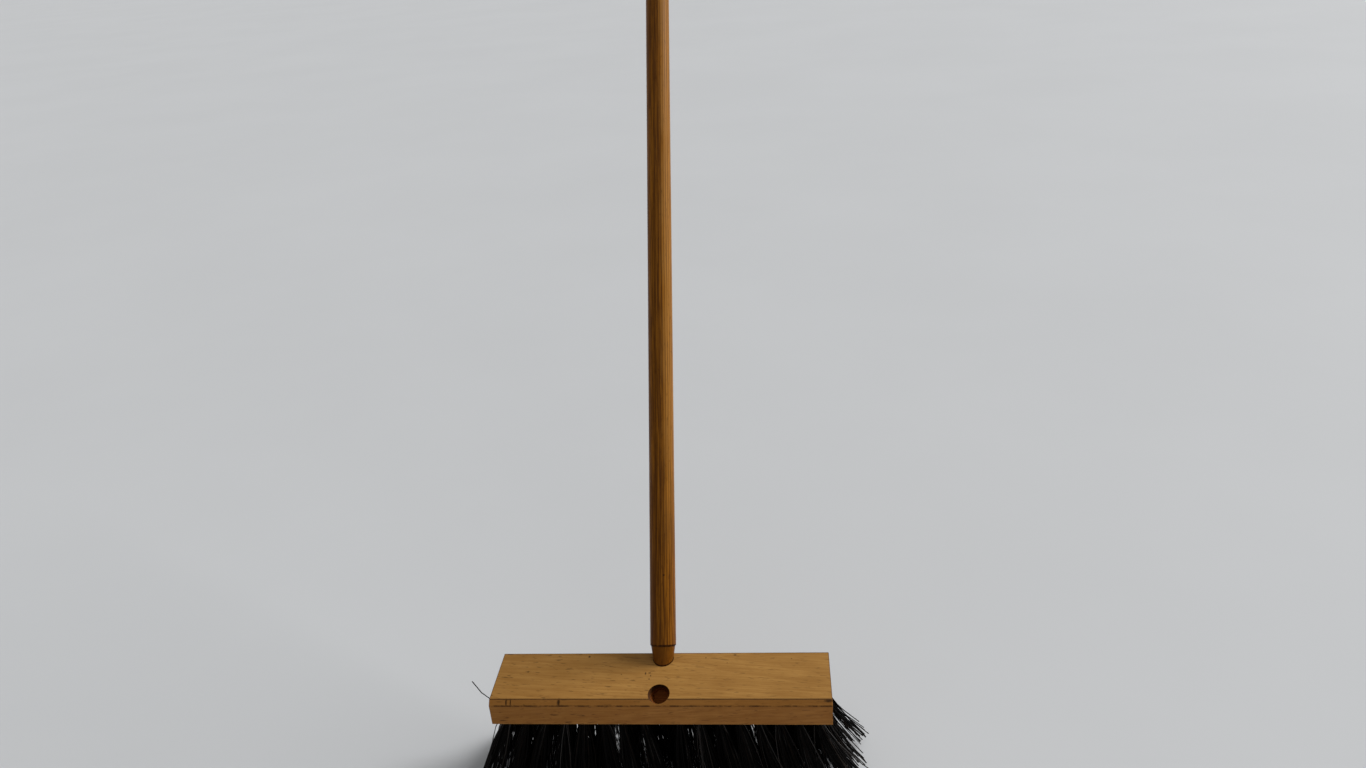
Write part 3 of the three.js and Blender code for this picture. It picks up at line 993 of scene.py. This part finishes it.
# Tones between which fibres turn brown, and how brown their least and most blotched parts are
BROWN_TONES = (0.6, 1.0)
BROWN_COVER = (0.3, 1.0)
# Share of the length at which dust sets in and is full, and its cover there
DUST = (0.7, 1.0, 0.0, 0.5)
FIBRE_ROUGHNESS = (0.30, 0.48)
FIBRE_SPECULAR = 0.04
# Tones between which fibres turn glossy, and the coat's weight there
GLOSS = (0.84, 0.98, 0.0, 0.6)
GLOSS_ROUGHNESS = 0.16
FIBRE_BUMP = (0.2, 0.0002)
FLOOR_MARKS = {"blotch_size": 0.8, "speck_spacing": 0.5}
FLOOR_MOTTLE = 1.03
FLOOR_ROUGHNESS = 0.8


def fibre(bristles):
    """Coarse dark fibre with a slight gloss, some of it browner, dustier towards the tips."""
    material, tree, shader, point = new_material("fibre")
    tone = node(tree, "ShaderNodeAttribute", attribute_name="tone").outputs["Fac"]
    reach = node(tree, "ShaderNodeAttribute", attribute_name="reach").outputs["Fac"]
    blotches = grouped(tree, "handling_marks", vector=point, **FIBRE_MARKS)["Blotches"]
    browner = scaled(tree, ramp(tree, tone, *BROWN_TONES), ramp(tree, blotches, 0.0, 1.0, *BROWN_COVER))
    shade = mixed(tree, browner, bristles.body, bristles.brown)
    dusty = scaled(tree, ramp(tree, reach, *DUST), blotches)
    fill(tree, shader, {
        "Base Color": mixed(tree, dusty, shade, bristles.brown),
        "Roughness": ramp(tree, tone, 0.0, 1.0, *FIBRE_ROUGHNESS),
        "Specular IOR Level": FIBRE_SPECULAR,
        "Coat Weight": ramp(tree, tone, *GLOSS),
        "Coat Roughness": GLOSS_ROUGHNESS,
        "Normal": bump(tree, blotches, *FIBRE_BUMP),
    })
    return material


def floor_finish(stage):
    """A plain pale floor."""
    material, tree, shader, point = new_material("floor")
    marks = grouped(tree, "handling_marks", vector=point, **FLOOR_MARKS)
    paler = tuple(min(1.0, FLOOR_MOTTLE * part) for part in stage.floor[:3]) + (1.0,)
    plain = mixed(tree, marks["Blotches"], stage.floor, paler)
    fill(tree, shader, {"Base Color": plain, "Roughness": FLOOR_ROUGHNESS})
    return material


# Operators, one for each piece or group of like pieces


class BROOM_OT_block(bpy.types.Operator):
    """Make the block: a chamfered bar with two sockets, tuft holes and worn edges"""

    bl_idname = "broom.block"
    bl_label = "Block"

    def execute(self, context):
        block = context.scene.broom_block
        finishes = (block_wood(block), bored_wood(block))
        piece = add_object("block_body", chamfered_bar(block.arris_ease))
        hollows = add_object("hollows", drilled_hollows(block))
        for owner in (piece, hollows):
            for finish in finishes:
                owner.data.materials.append(finish)
        piece.data = cut_away(piece, hollows)
        ease_rims(piece.data, block.rim_ease)
        shade_faces(piece, BLOCK_CREASE)
        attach(piece, "head")
        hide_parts("block")
        return {"FINISHED"}


class BROOM_OT_handle(bpy.types.Operator):
    """Make the turned handle that stands in the rear socket"""

    bl_idname = "broom.handle"
    bl_label = "Handle"

    def execute(self, context):
        handle = context.scene.broom_handle
        piece = add_object("handle_pole", handle_mesh(handle))
        piece.data.materials.append(handle_wood(handle))
        piece.matrix_world = socket_place(1)
        shade_faces(piece, HANDLE_CREASE)
        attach(piece, "handle")
        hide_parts("handle")
        return {"FINISHED"}


class BROOM_OT_bristles(bpy.types.Operator):
    """Make the bristle tufts, bank by bank, with every fibre a tube of its own"""

    bl_idname = "broom.bristles"
    bl_label = "Bristles"

    def execute(self, context):
        bristles = context.scene.broom_bristles
        finish = fibre(bristles)
        corners = len(FIBRE_RINGS) * FIBRE_SIDES
        for place, bank in enumerate(BANKS):
            rng = np.random.default_rng(SEED + place)
            paths = fibre_paths(bristles, tufts[bank], rng)
            if bank == BANKS[0]:
                paths = np.concatenate((paths, np.array(STRAY_FIBRE)[None]))
            count = len(paths)
            radii = bristles.diameter / 2 * rng.uniform(*FIBRE_THICKNESS, count)
            mesh = tubes(bank + "_fibres", paths, radii, rng.uniform(0, 2 * math.pi, count))
            point_attribute(mesh, "tone", np.repeat(rng.uniform(0, 1, count), corners))
            point_attribute(mesh, "reach", np.tile(np.repeat(FIBRE_RINGS, FIBRE_SIDES), count))
            mesh.materials.append(finish)
            piece = add_object(bank + "_fibres", mesh)
            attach(piece, "head")
            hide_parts(bank)
        return {"FINISHED"}


# Where each lamp stands, seen from the broom, and how many degrees wide it looks
KEY_FROM, KEY_SPREAD = (0.71, 0.385, 0.59), 32
OVERHEAD_FROM, OVERHEAD_SPREAD = (0.1, -0.2, 1.0), 90
FLOOR_SIDES = 96
# The camera's place in metres, angles in radians, and lens and sensor in millimetres
CAMERA_PLACE = Vector((0.13596, -0.82169, 0.73639))
CAMERA_PITCH = 0.4459
CAMERA_YAW = -0.1076
CAMERA_ROLL = -0.0773
CAMERA_LENS = 26.583
CAMERA_SENSOR = 36.0


def add_floor(stage):
    bm = bmesh.new()
    bmesh.ops.create_circle(bm, cap_ends=True, segments=FLOOR_SIDES, radius=stage.floor_radius)
    bmesh.ops.translate(bm, verts=list(bm.verts), vec=(0, 0, sole))
    floor = add_object("floor", mesh_from("floor", bm))
    floor.data.materials.append(floor_finish(stage))


def add_lamp(name, place, spread, energy):
    """A distant, wide lamp that shines towards the broom."""
    lamp = bpy.data.lights.new(name, "SUN")
    lamp.angle = math.radians(spread)
    lamp.energy = energy
    turn = (-Vector(place)).to_track_quat("-Z", "Y").to_matrix().to_4x4()
    add_object(name, lamp).matrix_world = Matrix.Translation(place) @ turn


def studio_light(stage):
    """An even sky that lights the broom, seen as a pale backdrop by the camera and in reflections."""
    world = bpy.data.worlds.new("studio")
    world.use_nodes = True
    tree = world.node_tree
    rays = node(tree, "ShaderNodeLightPath").outputs
    seen = strongest(tree, rays["Is Camera Ray"], rays["Is Glossy Ray"], rays["Is Transmission Ray"])
    light = ramp(tree, seen, 0.0, 1.0, stage.sky, stage.backdrop)
    fill(tree, tree.nodes["Background"], {"Color": stage.floor, "Strength": light})
    return world


def add_camera():
    """The camera at the photograph's viewing angle."""
    camera = add_object("camera", bpy.data.cameras.new("camera"))
    camera.data.sensor_fit = "HORIZONTAL"
    camera.data.sensor_width = CAMERA_SENSOR
    camera.data.lens = CAMERA_LENS
    flat = math.cos(CAMERA_PITCH)
    forward = Vector((math.sin(CAMERA_YAW) * flat, math.cos(CAMERA_YAW) * flat, -math.sin(CAMERA_PITCH)))
    level = Vector((math.cos(CAMERA_YAW), -math.sin(CAMERA_YAW), 0))
    upright = level.cross(forward)
    right = level * math.cos(CAMERA_ROLL) + upright * math.sin(CAMERA_ROLL)
    up = upright * math.cos(CAMERA_ROLL) - level * math.sin(CAMERA_ROLL)
    turn = Matrix((right, up, -forward)).transposed().to_4x4()
    camera.matrix_world = Matrix.Translation(CAMERA_PLACE) @ turn
    return camera


class BROOM_OT_stage(bpy.types.Operator):
    """Make the floor, the lamps and the camera"""

    bl_idname = "broom.stage"
    bl_label = "Stage"

    def execute(self, context):
        stage = context.scene.broom_stage
        add_floor(stage)
        add_lamp("key", KEY_FROM, KEY_SPREAD, stage.key)
        add_lamp("overhead", OVERHEAD_FROM, OVERHEAD_SPREAD, stage.overhead)
        context.scene.world = studio_light(stage)
        context.scene.view_settings.view_transform = "Standard"
        context.scene.camera = add_camera()
        return {"FINISHED"}


class BROOM_PT_panel(bpy.types.Panel):
    """The broom's pieces and their sizes"""

    bl_idname = "BROOM_PT_panel"
    bl_label = "Shop broom"
    bl_space_type = "VIEW_3D"
    bl_region_type = "UI"
    bl_category = "Broom"

    def draw(self, context):
        for operator, name, kind in STEPS:
            self.layout.operator(operator.bl_idname)
            for size in kind.__annotations__:
                self.layout.prop(getattr(context.scene, name), size)


STEPS = (
    (BROOM_OT_stage, "broom_stage", BroomStage),
    (BROOM_OT_block, "broom_block", BroomBlock),
    (BROOM_OT_handle, "broom_handle", BroomHandle),
    (BROOM_OT_bristles, "broom_bristles", BroomBristles),
)
CLASSES = (*(kind for _, _, kind in STEPS), *(operator for operator, _, _ in STEPS), BROOM_PT_panel)


def register():
    for kind in CLASSES:
        bpy.utils.register_class(kind)
    for _, name, kind in STEPS:
        setattr(bpy.types.Scene, name, PointerProperty(type=kind))


def unregister():
    for _, name, _ in STEPS:
        delattr(bpy.types.Scene, name)
    for kind in reversed(CLASSES):
        bpy.utils.unregister_class(kind)


def main():
    register()
    bpy.ops.broom.stage()
    bpy.ops.broom.block()
    bpy.ops.broom.handle()
    bpy.ops.broom.bristles()


if __name__ == "__main__":
    main()
